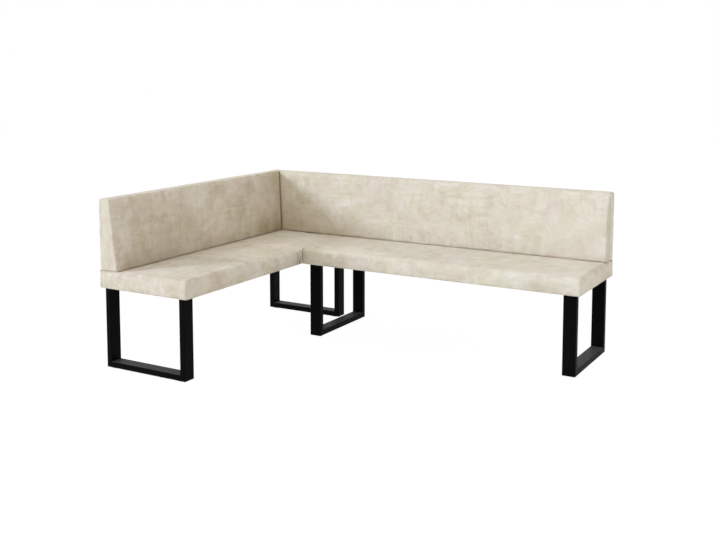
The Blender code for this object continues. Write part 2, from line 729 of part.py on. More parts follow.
def main():
    clear_scene()
    finishes = {
        "fabric": material("cream_velour", (0.62, 0.53, 0.42), 0.85),
        "foam": material("foam", (0.80, 0.74, 0.52), 0.95),
        "timber": material("timber", (0.58, 0.41, 0.24), 0.70),
        "lining": material("black_lining", (0.02, 0.02, 0.02), 0.95),
        "steel": material("black_steel", (0.012, 0.012, 0.013), 0.45),
        "zinc": material("zinc_plated", (0.60, 0.61, 0.62), 0.35, 1.0),
        "glide": material("black_plastic", (0.02, 0.02, 0.02), 0.60),
    }
    long_arm = arm_empty("long_arm", 0.0)
    short_arm = arm_empty("short_arm", math.radians(90.0))

    # The short seat takes the corner; the long seat meets its inner side
    short_seat = Seat(-SHORT_ARM, -GAP, -SHORT_ARM, -BACK_FOOT, -SHORT_ARM, -SEAT_DEPTH, SHORT)
    long_seat = Seat(SEAT_DEPTH + GAP, LONG_ARM, SEAT_DEPTH, LONG_ARM, SEAT_DEPTH, LONG_ARM, LONG)
    short_parts = seat_pieces("short", short_seat, short_arm, finishes)
    long_parts = seat_pieces("long", long_seat, long_arm, finishes)
    short_back = back_pieces("short", Back(-SHORT_ARM, SHORT), short_arm, finishes)
    long_back = back_pieces("long", Back(LONG_ARM, LONG), long_arm, finishes)

    from_end = RUNNER_END_INSET + TUBE_WIDTH / 2.0
    shapes = {part: shared(part, shape) for part, shape in runner_shapes().items()}
    shapes["glide"] = shared("glide", glide_mesh())
    frames = (("short_outer", -SHORT_ARM + from_end, short_arm, short_parts),
              ("short_corner", -from_end, short_arm, short_parts),
              ("long_inner", SEAT_DEPTH + from_end, long_arm, long_parts),
              ("long_outer", LONG_ARM - from_end, long_arm, long_parts))
    for name, middle_x, arm, parts in frames:
        spots = runner_frame(name, middle_x, arm, shapes, finishes)
        hole = BOLT + 2.0 * GAP
        drill(parts["dust"], spots, hole, DUST_BOTTOM - DUST_COVER, DUST_TOP + DUST_COVER)
        drill(parts["frame"], spots, hole, RAIL_BOTTOM - FABRIC, PLATE_BOTTOM + LEG_BOLT_LENGTH)

    back_fixings("short", short_seat, short_arm, short_parts, short_back, BACK_BOLTS_SHORT, finishes)
    back_fixings("long", long_seat, long_arm, long_parts, long_back, BACK_BOLTS_LONG, finishes)
    joining_hardware(long_arm, short_parts, long_parts, finishes)


main()
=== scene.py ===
"""Looks of the upholstered corner bench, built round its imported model.

Metres, in the model's own frame: the origin is on the floor under the middle of the bench.
Each cushion is worked out in its arm's own axes, as the model's source does it: X runs along
the arm, Y = 0 is the rear face and the front of the seat is at -SEAT_DEPTH.
"""
import math

import bpy
import numpy as np
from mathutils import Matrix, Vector


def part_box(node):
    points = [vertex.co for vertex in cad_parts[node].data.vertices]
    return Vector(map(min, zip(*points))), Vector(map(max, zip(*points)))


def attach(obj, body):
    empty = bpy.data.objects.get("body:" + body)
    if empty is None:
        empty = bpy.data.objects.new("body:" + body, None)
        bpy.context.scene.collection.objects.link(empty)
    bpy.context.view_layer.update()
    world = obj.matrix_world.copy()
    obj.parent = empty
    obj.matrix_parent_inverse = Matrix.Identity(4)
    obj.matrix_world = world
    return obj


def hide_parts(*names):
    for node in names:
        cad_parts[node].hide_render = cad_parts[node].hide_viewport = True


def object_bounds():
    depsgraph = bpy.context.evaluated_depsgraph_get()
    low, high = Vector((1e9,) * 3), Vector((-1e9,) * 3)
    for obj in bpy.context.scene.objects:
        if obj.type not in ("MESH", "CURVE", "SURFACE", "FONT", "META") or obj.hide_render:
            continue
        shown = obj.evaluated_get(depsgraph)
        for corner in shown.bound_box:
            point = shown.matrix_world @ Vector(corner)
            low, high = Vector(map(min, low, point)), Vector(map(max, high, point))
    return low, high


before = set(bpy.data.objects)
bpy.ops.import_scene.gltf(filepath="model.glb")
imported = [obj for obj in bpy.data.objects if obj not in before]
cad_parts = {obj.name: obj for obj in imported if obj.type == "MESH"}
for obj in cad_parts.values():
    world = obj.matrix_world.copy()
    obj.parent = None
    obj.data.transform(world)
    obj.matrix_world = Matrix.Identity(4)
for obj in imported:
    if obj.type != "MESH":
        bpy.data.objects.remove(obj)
CAD_LOW, CAD_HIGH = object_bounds()
SCENE = bpy.context.scene

# Upholstery, in real sizes
SIDE_CROWN = 0.005
SEAT_CROWN = 0.006
BACK_CROWN = 0.007
BACK_END_CROWN = 0.004
CROWN_REACH = 0.180
BULGE_REACH = 0.080
BULGE_DEPTH = 0.030
SEAT_DEPTH = 0.540
SEAT_THICKNESS = 0.089
BACK_FOOT = 0.122
BACK_TOP = 0.071
GAP = 0.0003
TINY = 1e-7

# Places worked out from the frame
LONG_ARM = CAD_HIGH.x - CAD_LOW.x - SIDE_CROWN
SHORT_ARM = CAD_HIGH.y - CAD_LOW.y - SIDE_CROWN
CORNER = Vector((CAD_LOW.x, CAD_HIGH.y, 0.0))
SEAT_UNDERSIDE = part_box("long_seat_cover")[0].z
SEAT_TOP = SEAT_UNDERSIDE + SEAT_THICKNESS
BACK_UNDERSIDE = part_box("long_back_cover")[0].z
BACK_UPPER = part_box("long_back_cover")[1].z
BACK_HEIGHT = BACK_UPPER - SEAT_TOP
BACK_TILT = math.atan2(BACK_FOOT - BACK_TOP, BACK_HEIGHT)

# Which way each arm runs from the corner, in its own X, and how it is turned
SHORT, LONG = -1.0, 1.0
TURN = {SHORT: math.radians(90.0), LONG: 0.0}

# Faces of a block: (axis, 0 for its low side or 1 for its high side)
LEFT, RIGHT, FRONT, REAR, BOTTOM, TOP = (0, 0), (0, 1), (1, 0), (1, 1), (2, 0), (2, 1)

# How many waves make up a random curve and a random field, and how near added lines may come to others
LINE_WAVES = 6
SPACE_WAVES = 14
CLOSEST = 0.35


def ease(distance, reach):
    """Rise smoothly from 0 at an edge to 1 at a distance from it."""
    return np.sin(0.5 * np.pi * np.clip(distance / reach, 0.0, 1.0))


def bell(distance, width):
    """1 on a line, falling to nothing beside it."""
    return np.exp(-(distance / width) ** 2)


def wander(places, wavelength, seed):
    """A smooth random curve of about unit height along a line."""
    rng = np.random.default_rng(seed)
    total = np.zeros_like(places)
    for _ in range(LINE_WAVES):
        rate = 2.0 * np.pi / wavelength * rng.uniform(0.6, 1.7)
        total += np.sin(places * rate + rng.uniform(0.0, 2.0 * np.pi))
    return total / math.sqrt(0.5 * LINE_WAVES)


def field(points, wavelength, seed):
    """A smooth random value of about unit height at each point in space."""
    rng = np.random.default_rng(seed)
    total = np.zeros(len(points))
    for _ in range(SPACE_WAVES):
        direction = rng.normal(size=3)
        direction *= 2.0 * np.pi / wavelength * rng.uniform(0.6, 1.6) / np.linalg.norm(direction)
        total += np.sin(points @ direction + rng.uniform(0.0, 2.0 * np.pi))
    return total / math.sqrt(0.5 * SPACE_WAVES)


def lines(low, high, step, edge_steps):
    """Places from low to high: close together at both ends, one step apart between them."""
    edge = np.cumsum([0.0, *edge_steps])
    count = max(2, round((high - low - 2 * edge[-1]) / step))
    inner = np.linspace(low + edge[-1], high - edge[-1], count)
    return np.concatenate([low + edge[:-1], inner, (high - edge[:-1])[::-1]])


def refined(places, low, high, step):
    """Places with more of them from low to high, a step apart."""
    extra = np.arange(low, high, step)
    nearest = np.abs(extra[:, None] - places[None, :]).min(1)
    return np.sort(np.concatenate([places, extra[nearest > CLOSEST * step]]))


def block_skin(grid):
    """The surface of a block that three sets of lines divide: line numbers, points and outward quads."""
    counts = [len(places) for places in grid]
    last = np.array(counts) - 1
    index = np.stack(np.meshgrid(*map(np.arange, counts), indexing="ij"), -1).reshape(-1, 3)
    index = index[((index == 0) | (index == last)).any(1)]
    number = np.full(counts, -1)
    number[tuple(index.T)] = np.arange(len(index))
    quads = []
    for axis in range(3):
        first, second = (axis + 1) % 3, (axis + 2) % 3
        across, along = np.meshgrid(np.arange(last[first]), np.arange(last[second]), indexing="ij")
        for side in (0, last[axis]):
            ring = []
            for step_first, step_second in ((0, 0), (1, 0), (1, 1), (0, 1)):
                key = [None, None, None]
                key[axis] = np.full(across.size, side)
                key[first] = (across + step_first).ravel()
                key[second] = (along + step_second).ravel()
                ring.append(number[tuple(key)])
            quads.append(np.stack(ring if side else ring[::-1], 1))
    points = np.stack([grid[axis][index[:, axis]] for axis in range(3)], 1)
    return index, points, np.concatenate(quads)


def smooth_weights(fine, coarse):
    """What each coarse line gives to each fine line, on a smooth curve through the coarse values."""
    place = np.interp(fine, coarse, np.arange(len(coarse)))
    cell = np.minimum(place.astype(int), len(coarse) - 2)
    t = place - cell
    shares = (-0.5 * t + t ** 2 - 0.5 * t ** 3, 1.0 - 2.5 * t ** 2 + 1.5 * t ** 3,
              0.5 * t + 2.0 * t ** 2 - 1.5 * t ** 3, -0.5 * t ** 2 + 0.5 * t ** 3)
    weights = np.zeros((len(fine), len(coarse)))
    for step, share in enumerate(shares):
        column = np.clip(cell + step - 1, 0, len(coarse) - 1)
        np.add.at(weights, (np.arange(len(fine)), column), share)
    return weights


def carried_over(moves, cage_index, cage_grid, index, grid):
    """Moves of a coarse skin's points, carried over to a fine skin of the same block."""
    coarse = np.zeros((*map(len, cage_grid), 3))
    coarse[tuple(cage_index.T)] = moves
    fine = np.zeros((*map(len, grid), 3))
    weights = [smooth_weights(grid[axis], cage_grid[axis]) for axis in range(3)]
    for axis in range(3):
        first, second = [other for other in range(3) if other != axis]
        for side in (0, -1):
            face = np.take(coarse, side, axis)
            place = [slice(None)] * 3
            place[axis] = side
            fine[tuple(place)] = np.einsum("ij,kl,jlc->ikc", weights[first], weights[second], face)
    return fine[tuple(index.T)]


def depths(points, low, high):
    """How far each point lies inside each face of a block, by side and axis."""
    return np.stack([points - low, high - points], 1)


def rounded(points, low, high, radii):
    """Round a block's edges. Each row of radii is (face, face, a radius or one for each point)."""
    inside = depths(points, low, high)
    moved = points.copy()
    inward = (1.0, -1.0)
    for face_a, face_b, given in radii:
        radius = np.broadcast_to(given, len(points))
        for (axis, side), (other, other_side), whole in ((face_a, face_b, True), (face_b, face_a, False)):
            reach = inside[:, other_side, other]
            near = (inside[:, side, axis] < TINY) & (reach < radius)
            if not whole:
                near &= reach > TINY
            bend = radius[near]
            angle = 0.25 * np.pi * (1.0 - reach[near] / bend)
            moved[near, axis] += inward[side] * bend * (1.0 - np.cos(angle))
            moved[near, other] += inward[other_side] * (bend * (1.0 - np.sin(angle)) - reach[near])
    return moved


def from_face(inside, face):
    """How far each point lies from one face, measured on the plain block."""
    return inside[:, face[1], face[0]]


def on(inside, face):
    """Which points lie on one face."""
    return from_face(inside, face) < TINY


def edge_distance(inside, face_a, face_b):
    """How far each point lies from the edge between two faces."""
    return np.hypot(from_face(inside, face_a), from_face(inside, face_b))


def point_normals(points, quads):
    """The surface's direction at each point."""
    across = points[quads[:, 2]] - points[quads[:, 0]]
    along = points[quads[:, 3]] - points[quads[:, 1]]
    faces = np.cross(across, along)
    normals = np.zeros_like(points)
    for corner in range(4):
        np.add.at(normals, quads[:, corner], faces)
    return normals / np.maximum(np.linalg.norm(normals, axis=1, keepdims=True), TINY)


def in_row_frame(points, side):
    """Points of an arm's own axes, in the row frame."""
    cosine, sine = math.cos(TURN[side]), math.sin(TURN[side])
    turned = points.copy()
    turned[:, 0] = cosine * points[:, 0] - sine * points[:, 1] + CORNER.x
    turned[:, 1] = sine * points[:, 0] + cosine * points[:, 1] + CORNER.y
    return turned


def placed(name, data):
    """An object in the scene."""
    obj = bpy.data.objects.new(name, data)
    SCENE.collection.objects.link(obj)
    return obj


def mesh_object(name, points, faces, finish):
    """A smooth mesh in the scene."""
    mesh = bpy.data.meshes.new(name)
    mesh.from_pydata(points, [], faces)
    mesh.materials.append(finish)
    mesh.shade_smooth()
    mesh.update()
    return placed(name, mesh)


# Cushions

EDGE_STEPS = (0.0009, 0.0011, 0.0016, 0.0022, 0.003, 0.004, 0.005, 0.006, 0.007)
CELL = 0.009
# Finer lines, and how far they reach before and after a fold and the gathered folds
FINE_CELL = 0.003
BY_FOLD = (0.018, 0.009)
BY_GATHER = (0.085, 0.006)

# The cloth's relief. A ripple is (height, wavelength) and a fold is (height, distance from a line, width)
FINE_RIPPLE = (0.0004, 0.05)
HEM_RIPPLE = (0.0018, 0.085)
HEM_SHARE = 0.5
SEAM_DEPTH = 0.0011
SEAM_WIDTH = 0.0013
SEAM_FOLD = (0.0006, 0.004, 0.003)
GATHERED_FOLDS = ((0.0018, 0.013, 0.005), (-0.0034, 0.024, 0.006), (0.0026, 0.037, 0.007),
                  (-0.0030, 0.050, 0.007), (0.0014, 0.066, 0.011))
GATHER_BEND = 0.005
GATHER_ON_LONG = 0.35
MITRE_REACH = 0.12

# The cover as cloth over its padding
CAGE_CELL = 0.014
CAGE_EDGE_STEPS = (0.004, 0.006, 0.008)
CLOTH_FRAMES = 14
CLOTH = {"quality": 6, "mass": 0.3, "use_pressure": True, "uniform_pressure_force": 4.0,
         "vertex_group_mass": "held", "pin_stiffness": 0.6, "vertex_group_shrink": "tight",
         "shrink_min": -0.035, "shrink_max": 0.0, "bending_stiffness": 30.0}
PADDING_HOLD = 0.35
END_HOLD = 0.75
WEIGHT_STEPS = 50.0
LOOSE_RIPPLE = (0.15, 0.25)
HEM_REACH = 0.030
SEAM_REACH = 0.040
INNER_REACH = 0.060
INNER_DEPTH = 0.090
MOST_MOVE = 0.004


def folds(distance, rows):
    """Folds along a line, from each point's distance to it."""
    return sum(height * bell(distance - place, width) for height, place, width in rows)


class Cushion:
    """A block in its arm's axes, with a free end and an end by the other arm."""

    tight_radius = 0.0045

    def __init__(self, side, low, high):
        self.side = side
        self.low = np.array(low)
        self.high = np.array(high)
        self.short = side < 0
        self.free, self.joined = (LEFT, RIGHT) if self.short else (RIGHT, LEFT)
        self.free_x = low[0] if self.short else high[0]
        self.seed, self.slack_seed = self.seeds[0 if self.short else 1]

    def grid(self):
        """The lines that divide the block's surface, closer together at the free end's fold."""
        grid = [lines(*ends, CELL, EDGE_STEPS) for ends in zip(self.low, self.high)]
        before, after = BY_FOLD
        grid[1] = refined(grid[1], -self.fold_inset - before, -self.fold_inset + after, FINE_CELL)
        return grid

    def ripples(self, plain, slow_share, fine_share):
        """Slow waves in the cloth, and finer ones on them."""
        waves = slow_share * self.slow_ripple[0] * field(plain, self.slow_ripple[1], self.seed)
        return waves + fine_share * FINE_RIPPLE[0] * field(plain, FINE_RIPPLE[1], self.seed + 1)

    def sewn_edge(self, plain, inside, where, seed):
        """The seam between the front and the free end, with the cloth puckered beside it."""
        distance = edge_distance(inside, FRONT, self.free)
        puckers = folds(distance, (SEAM_FOLD,)) * wander(plain[:, 2], self.pucker_wavelength, seed)
        return puckers - SEAM_DEPTH * bell(distance, SEAM_WIDTH) * where

    def end_fold(self, plain, inside):
        """The upright fold in the free end, near the rear."""
        upright = (ease(from_face(inside, TOP), self.fold_fade)
                   * ease(from_face(inside, BOTTOM), self.fold_fade))
        return on(inside, self.free) * upright * folds(-plain[:, 1] - self.fold_inset, self.fold_rows)

    def pressed(self, inside):
        """Where the cover is stapled underneath or lies against the wall or the other cushion."""
        return on(inside, BOTTOM) | on(inside, REAR) | on(inside, self.joined)

    def slack(self, plain, inside):
        """Where the cover has cloth to spare: by the hem, the free end's seam and the other arm."""
        hem = bell(plain[:, 2] - self.low[2], HEM_REACH)
        seam = bell(edge_distance(inside, FRONT, self.free), SEAM_REACH)
        loose = LOOSE_RIPPLE[0] * field(plain, LOOSE_RIPPLE[1], self.slack_seed)
        by_hem, by_seam, by_arm = self.spare
        loose += by_hem * hem + by_seam * seam + by_arm * self.inner(plain, inside)
        return np.clip(loose, 0.0, 1.0)


class SeatCushion(Cushion):
    """One seat box: rounded, crowned, with sides that swell and a cover pulled under it."""

    fill = 0.95
    seeds = ((11, 5), (23, 6))
    edge_radius = 0.020
    corner_radius = 0.011
    hem_radius = 0.007
    joint_radius = 0.0025
    meeting_radius = 0.011
    meeting_reach = 0.030
    slow_ripple = (0.0009, 0.16)
    pucker_wavelength = 0.018
    fold_inset = 0.019
    fold_fade = 0.02
    fold_rows = ((0.0014, 0.013, 0.007), (-0.0028, 0.0, 0.004))
    spare = (0.5, 0.6, 0.8)

    def __init__(self, side, start, end, crown, bulge):
        super().__init__(side, (start, -SEAT_DEPTH, SEAT_UNDERSIDE), (end, 0.0, SEAT_TOP))
        self.crown = crown
        self.bulge = bulge
        self.joint_x = bulge[1] if self.short else bulge[0]

    def grid(self):
        """The lines that divide the block's surface, closer together at its folds."""
        grid = super().grid()
        if self.short:
            before, after = BY_GATHER
            grid[0] = refined(grid[0], self.joint_x - before, self.joint_x + after, FINE_CELL)
        return grid

    def radii(self, plain):
        """How round each edge is: the front's top edge is tight where the other seat lies against it."""
        met = 1.0 - ease(self.joint_x - plain[:, 0], self.meeting_reach) if self.short else 0.0
        front = self.edge_radius + (self.joint_radius - self.edge_radius) * met
        return ((FRONT, TOP, front), (self.free, TOP, self.edge_radius),
                (FRONT, self.free, self.corner_radius), (REAR, self.free, self.tight_radius),
                (self.joined, TOP, self.joint_radius), (self.joined, FRONT, self.meeting_radius),
                (REAR, TOP, self.tight_radius), (FRONT, BOTTOM, self.hem_radius),
                (REAR, BOTTOM, self.tight_radius), (self.free, BOTTOM, self.hem_radius),
                (self.joined, BOTTOM, self.tight_radius))

    def swell(self, plain, formed):
        """Lift the top into a crown and swell the free sides."""
        x, y, z = plain.T
        height = np.clip((z - SEAT_UNDERSIDE) / SEAT_THICKNESS, 0.0, 1.0)
        crown = ease(x - self.crown[0], CROWN_REACH) * ease(self.crown[1] - x, CROWN_REACH)
        crown *= ease(y + SEAT_DEPTH, CROWN_REACH) * ease(-BACK_FOOT - y, CROWN_REACH)
        girth = np.sin(np.pi * height)
        near_front = 1.0 - np.clip((y + SEAT_DEPTH) / BULGE_DEPTH, 0.0, 1.0)
        near_end = 1.0 - np.clip(np.abs(x - self.free_x) / BULGE_DEPTH, 0.0, 1.0)
        along = ease(x - self.bulge[0], BULGE_REACH) * ease(self.bulge[1] - x, BULGE_REACH)
        across = ease(y + SEAT_DEPTH, BULGE_REACH) * ease(-y, BULGE_REACH)
        swollen = formed.copy()
        swollen[:, 0] += self.side * SIDE_CROWN * girth * near_end * across
        swollen[:, 1] -= SIDE_CROWN * girth * near_front * along
        swollen[:, 2] += SEAT_CROWN * crown * height
        return swollen

    def relief(self, plain, inside):
        """How far the cloth stands out from the smooth form at each point."""
        x, y, z = plain.T
        height = (z - SEAT_UNDERSIDE) / SEAT_THICKNESS
        at_front = on(inside, FRONT) & (x > self.bulge[0]) & (x < self.bulge[1])
        at_end = on(inside, self.free)
        sides = at_front | at_end
        open_top = ease(-BACK_FOOT - y, 0.05) * (height > 0.99)
        loose = np.maximum(sides, open_top)
        relief = self.ripples(plain, loose, loose)
        low_down = np.clip(1.0 - height / HEM_SHARE, 0.0, 1.0) ** 2
        hem = np.abs(wander(np.where(at_end, y, x), HEM_RIPPLE[1], self.seed + 2))
        relief -= sides * HEM_RIPPLE[0] * low_down * hem
        relief += self.sewn_edge(plain, inside, sides, self.seed + 3)
        relief += self.end_fold(plain, inside)
        return relief + self.gather(x, height) * on(inside, FRONT)

    def gather(self, x, height):
        """Upright folds in the side, where the cover is drawn in beside the other seat."""
        upper = ease(height, 0.35) * ease(1.15 - height, 0.3)
        bent = self.side * (x - self.joint_x) + GATHER_BEND * np.sin(4.0 * height)
        return folds(bent, GATHERED_FOLDS) * upper * (1.0 if self.short else GATHER_ON_LONG)

    def held(self, plain, inside):
        """How firmly each point stays: 1 where the cover is stapled, sewn down or pressed."""
        under_back = (plain[:, 1] > -BACK_FOOT - 0.004) & (plain[:, 2] > SEAT_TOP - 0.02)
        met = on(inside, FRONT) & (plain[:, 0] > self.joint_x) if self.short else False
        return np.where(self.pressed(inside) | under_back | met, 1.0, PADDING_HOLD)

    def inner(self, plain, inside):
        """How near each point is to the bench's inner corner."""
        return bell(plain[:, 0] - self.joint_x, INNER_REACH) * bell(plain[:, 1] + SEAT_DEPTH, INNER_DEPTH)

    def points(self, plain):
        """The cushion's surface for points of the plain block."""
        return self.swell(plain, rounded(plain, self.low, self.high, self.radii(plain)))


class BackCushion(Cushion):
    """One wedge back from its arm's free end to the mitre in the corner."""

    fill = 0.9
    seeds = ((37, 7), (51, 8))
    edge_radius = 0.026
    corner_radius = 0.014
    end_foot_radius = 0.009
    foot_radius = 0.013
    meeting_radius = 0.016
    mitre_radius = 0.004
    slow_ripple = (0.0010, 0.18)
    pucker_wavelength = 0.022
    fold_inset = 0.015
    fold_fade = 0.03
    fold_rows = ((0.0018, 0.010, 0.006), (-0.0026, 0.0, 0.004))
    spare = (0.4, 0.2, 0.3)

    def __init__(self, side, arm_length):
        self.arm_length = arm_length
        free_x = side * arm_length
        super().__init__(side, (min(0.0, free_x), -BACK_FOOT, BACK_UNDERSIDE),
                         (max(0.0, free_x), 0.0, BACK_UPPER))

    def radii(self):
        """How round each edge is."""
        return ((FRONT, TOP, self.edge_radius), (REAR, TOP, self.corner_radius),
                (self.free, TOP, self.corner_radius), (self.free, FRONT, self.corner_radius),
                (self.free, REAR, self.corner_radius), (self.free, BOTTOM, self.end_foot_radius),
                (FRONT, BOTTOM, self.foot_radius), (REAR, BOTTOM, self.tight_radius),
                (self.joined, FRONT, self.meeting_radius), (self.joined, TOP, self.mitre_radius))

    def slanted(self, block):
        """The block's points with the front face leaning back and the inner end cut to the mitre."""
        x, y, z = block.T
        share = (z - SEAT_TOP) / BACK_HEIGHT
        depth = BACK_FOOT + (BACK_TOP - BACK_FOOT) * share
        leaning = y * depth / BACK_FOOT
        from_end = self.side * (self.free_x - x)
        room = (self.arm_length - GAP * math.sqrt(2.0) + leaning) / self.arm_length
        return np.stack([self.free_x - self.side * from_end * room, leaning, z], 1)

    def swell(self, plain, formed):
        """Fill out the front face and the free end."""
        x, y, z = plain.T
        height = np.clip((z - BACK_UNDERSIDE) / (BACK_UPPER - BACK_UNDERSIDE), 0.0, 1.0)
        depth = np.clip(-y / BACK_FOOT, 0.0, 1.0)
        girth = np.sin(np.pi * height)
        from_end = self.side * (self.free_x - x)
        from_corner = np.clip(self.side * x + y, 0.0, None)
        along = ease(from_end, CROWN_REACH) * ease(from_corner, CROWN_REACH)
        swell = BACK_CROWN * girth ** 0.7 * along * np.clip(2.0 * depth - 1.0, 0.0, 1.0)
        near_end = 1.0 - np.clip(from_end / BULGE_DEPTH, 0.0, 1.0)
        swollen = formed.copy()
        swollen[:, 0] += self.side * BACK_END_CROWN * girth * near_end * np.sin(np.pi * depth)
        swollen[:, 1] -= swell * math.cos(BACK_TILT)
        swollen[:, 2] += swell * math.sin(BACK_TILT)
        return swollen

    def relief(self, plain, inside):
        """How far the cloth stands out from the smooth form at each point."""
        at_front, at_end = on(inside, FRONT), on(inside, self.free)
        loose = np.maximum(at_front * ease(from_face(inside, self.joined), MITRE_REACH), at_end)
        relief = self.ripples(plain, loose - 0.5 * at_end, loose)
        relief += self.sewn_edge(plain, inside, at_front | at_end, self.seed + 2)
        relief += self.end_fold(plain, inside)
        return relief - SEAM_DEPTH * bell(edge_distance(inside, TOP, self.free), SEAM_WIDTH) * at_end

    def held(self, plain, inside):
        """How firmly each point stays: 1 where the cover is pressed, less over the free end's board."""
        hold = np.where(from_face(inside, self.free) < self.corner_radius, END_HOLD, PADDING_HOLD)
        return np.where(self.pressed(inside), 1.0, hold)

    def inner(self, plain, inside):
        """How near each point is to the mitre's foot."""
        return bell(from_face(inside, self.joined) - BACK_FOOT, INNER_REACH)

    def points(self, plain):
        """The cushion's surface for points of the plain block."""
        return self.swell(plain, self.slanted(rounded(plain, self.low, self.high, self.radii())))


def group(obj, name, weights):
    """A vertex group with a weight for each point, in steps."""
    made = obj.vertex_groups.new(name=name)
    steps = np.round(weights * WEIGHT_STEPS).astype(int)
    for step in np.unique(steps):
        made.add(np.flatnonzero(steps == step).tolist(), float(step) / WEIGHT_STEPS, "REPLACE")


def settled(form, cage_grid):
    """Let the cover settle as cloth over its padding: the cage's line numbers, and its points' moves."""
    index, plain, quads = block_skin(cage_grid)
    inside = depths(plain, form.low, form.high)
    formed = form.points(plain)
    mesh = bpy.data.meshes.new("cage")
    mesh.from_pydata(formed.tolist(), [], quads.tolist())
    cage = placed("cage", mesh)
    group(cage, "held", form.held(plain, inside))
    group(cage, "tight", 1.0 - form.slack(plain, inside))
    cloth = cage.modifiers.new("Cloth", "CLOTH")
    cloth.collision_settings.use_collision = False
    cloth.point_cache.frame_end = CLOTH_FRAMES
    for key, value in CLOTH.items():
        setattr(cloth.settings, key, value)
    cloth.settings.effector_weights.gravity = 0.0
    for number in range(1, CLOTH_FRAMES + 1):
        SCENE.frame_set(number)
    shown = cage.evaluated_get(bpy.context.evaluated_depsgraph_get())
    moved = np.empty(len(plain) * 3, np.float32)
    shown.data.vertices.foreach_get("co", moved)
    moves = moved.reshape(-1, 3).astype(float) - formed
    length = np.maximum(np.linalg.norm(moves, axis=1, keepdims=True), TINY)
    bpy.data.objects.remove(cage, do_unlink=True)
    SCENE.frame_set(1)
    return index, moves * MOST_MOVE * np.tanh(length / MOST_MOVE) / length


def cushion(name, form, finish, nodes):
    """One finished cushion in place of its cover and its foam."""
    grid = form.grid()
    index, plain, quads = block_skin(grid)
    formed = form.points(plain)
    cage_grid = [lines(*ends, CAGE_CELL, CAGE_EDGE_STEPS) for ends in zip(form.low, form.high)]
    cage_index, moves = settled(form, cage_grid)
    formed += carried_over(moves, cage_index, cage_grid, index, grid)
    relief = form.relief(plain, depths(plain, form.low, form.high))
    formed += relief[:, None] * point_normals(formed, quads)
    piece = mesh_object(name, in_row_frame(formed, form.side).tolist(), quads.tolist(), finish)
    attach(piece, "root")
    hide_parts(*nodes)


# Runner frames

TUBE_RADIUS = 0.003
TUBE_STEPS = 5
WELD = 0.0012
WELD_RISE = 0.3 * WELD
WELD_FLARE = 0.00015
STOPS = 8
WELD_STOP = 2
SHARP_ANGLE = math.radians(50.0)


def rounded_outline(width, depth, radius, steps):
    """A rounded rectangle as points round its middle, anticlockwise."""
    outline = []
    for quarter, (sx, sy) in enumerate(((1, 1), (-1, 1), (-1, -1), (1, -1))):
        for step in range(steps):
            angle = 0.5 * math.pi * (quarter + step / (steps - 1))
            outline.append((sx * (width / 2.0 - radius) + radius * math.cos(angle),
                            sy * (depth / 2.0 - radius) + radius * math.sin(angle)))
    return outline


def half_path(out, end, top, height):
    """One line of a runner: down its post, over the weld at the corner and on to the foot bar."""
    return ((-end - out, top), (-end - out, height - out + WELD),
            (-end - out + WELD_RISE, height - out + WELD_RISE), (-end - out + WELD, height - out))


def runner(name, finish):
    """One welded U of rectangular tube in place of its two posts and its foot bar."""
    nodes = [f"{name}_{part}" for part in ("front_post", "rear_post", "foot_bar")]
    boxes = [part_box(node) for node in nodes]
    low = Vector(min(corner[axis] for corner, _ in boxes) for axis in range(3))
    high = Vector(max(corner[axis] for _, corner in boxes) for axis in range(3))
    along_y = high.y - low.y > high.x - low.x
    length = (high.y - low.y) if along_y else (high.x - low.x)
    width = (high.x - low.x) if along_y else (high.y - low.y)
    bar_low, bar_high = boxes[2]
    depth = bar_high.z - bar_low.z
    middle = (low + high) / 2.0
    outline = rounded_outline(width, depth, TUBE_RADIUS, TUBE_STEPS)
    points = []
    for stop in range(STOPS):
        # The second half of the way mirrors the first
        nearest = min(stop, STOPS - 1 - stop)
        for across, out in outline:
            reach, z = half_path(out, (length - depth) / 2.0, high.z, bar_low.z + depth / 2.0)[nearest]
            if nearest < stop:
                reach = -reach
            if nearest == WELD_STOP:
                across += math.copysign(WELD_FLARE, across)
            if along_y:
                points.append((middle.x + across, middle.y + reach, z))
            else:
                points.append((middle.x + reach, middle.y - across, z))
    count = len(outline)
    steps = [(step, (step + 1) % count) for step in range(count)]
    faces = [(here + step, here + count + step, here + count + after, here + after)
             for here in range(0, (STOPS - 1) * count, count) for step, after in steps]
    faces += [tuple(range(count)), tuple(reversed(range((STOPS - 1) * count, STOPS * count)))]
    piece = mesh_object(name + "_runner", points, faces, finish)
    piece.data.set_sharp_from_angle(angle=SHARP_ANGLE)
    piece.modifiers.new("Flat faces", "WEIGHTED_NORMAL").keep_sharp = True
    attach(piece, "root")
    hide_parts(*nodes)


# Materials

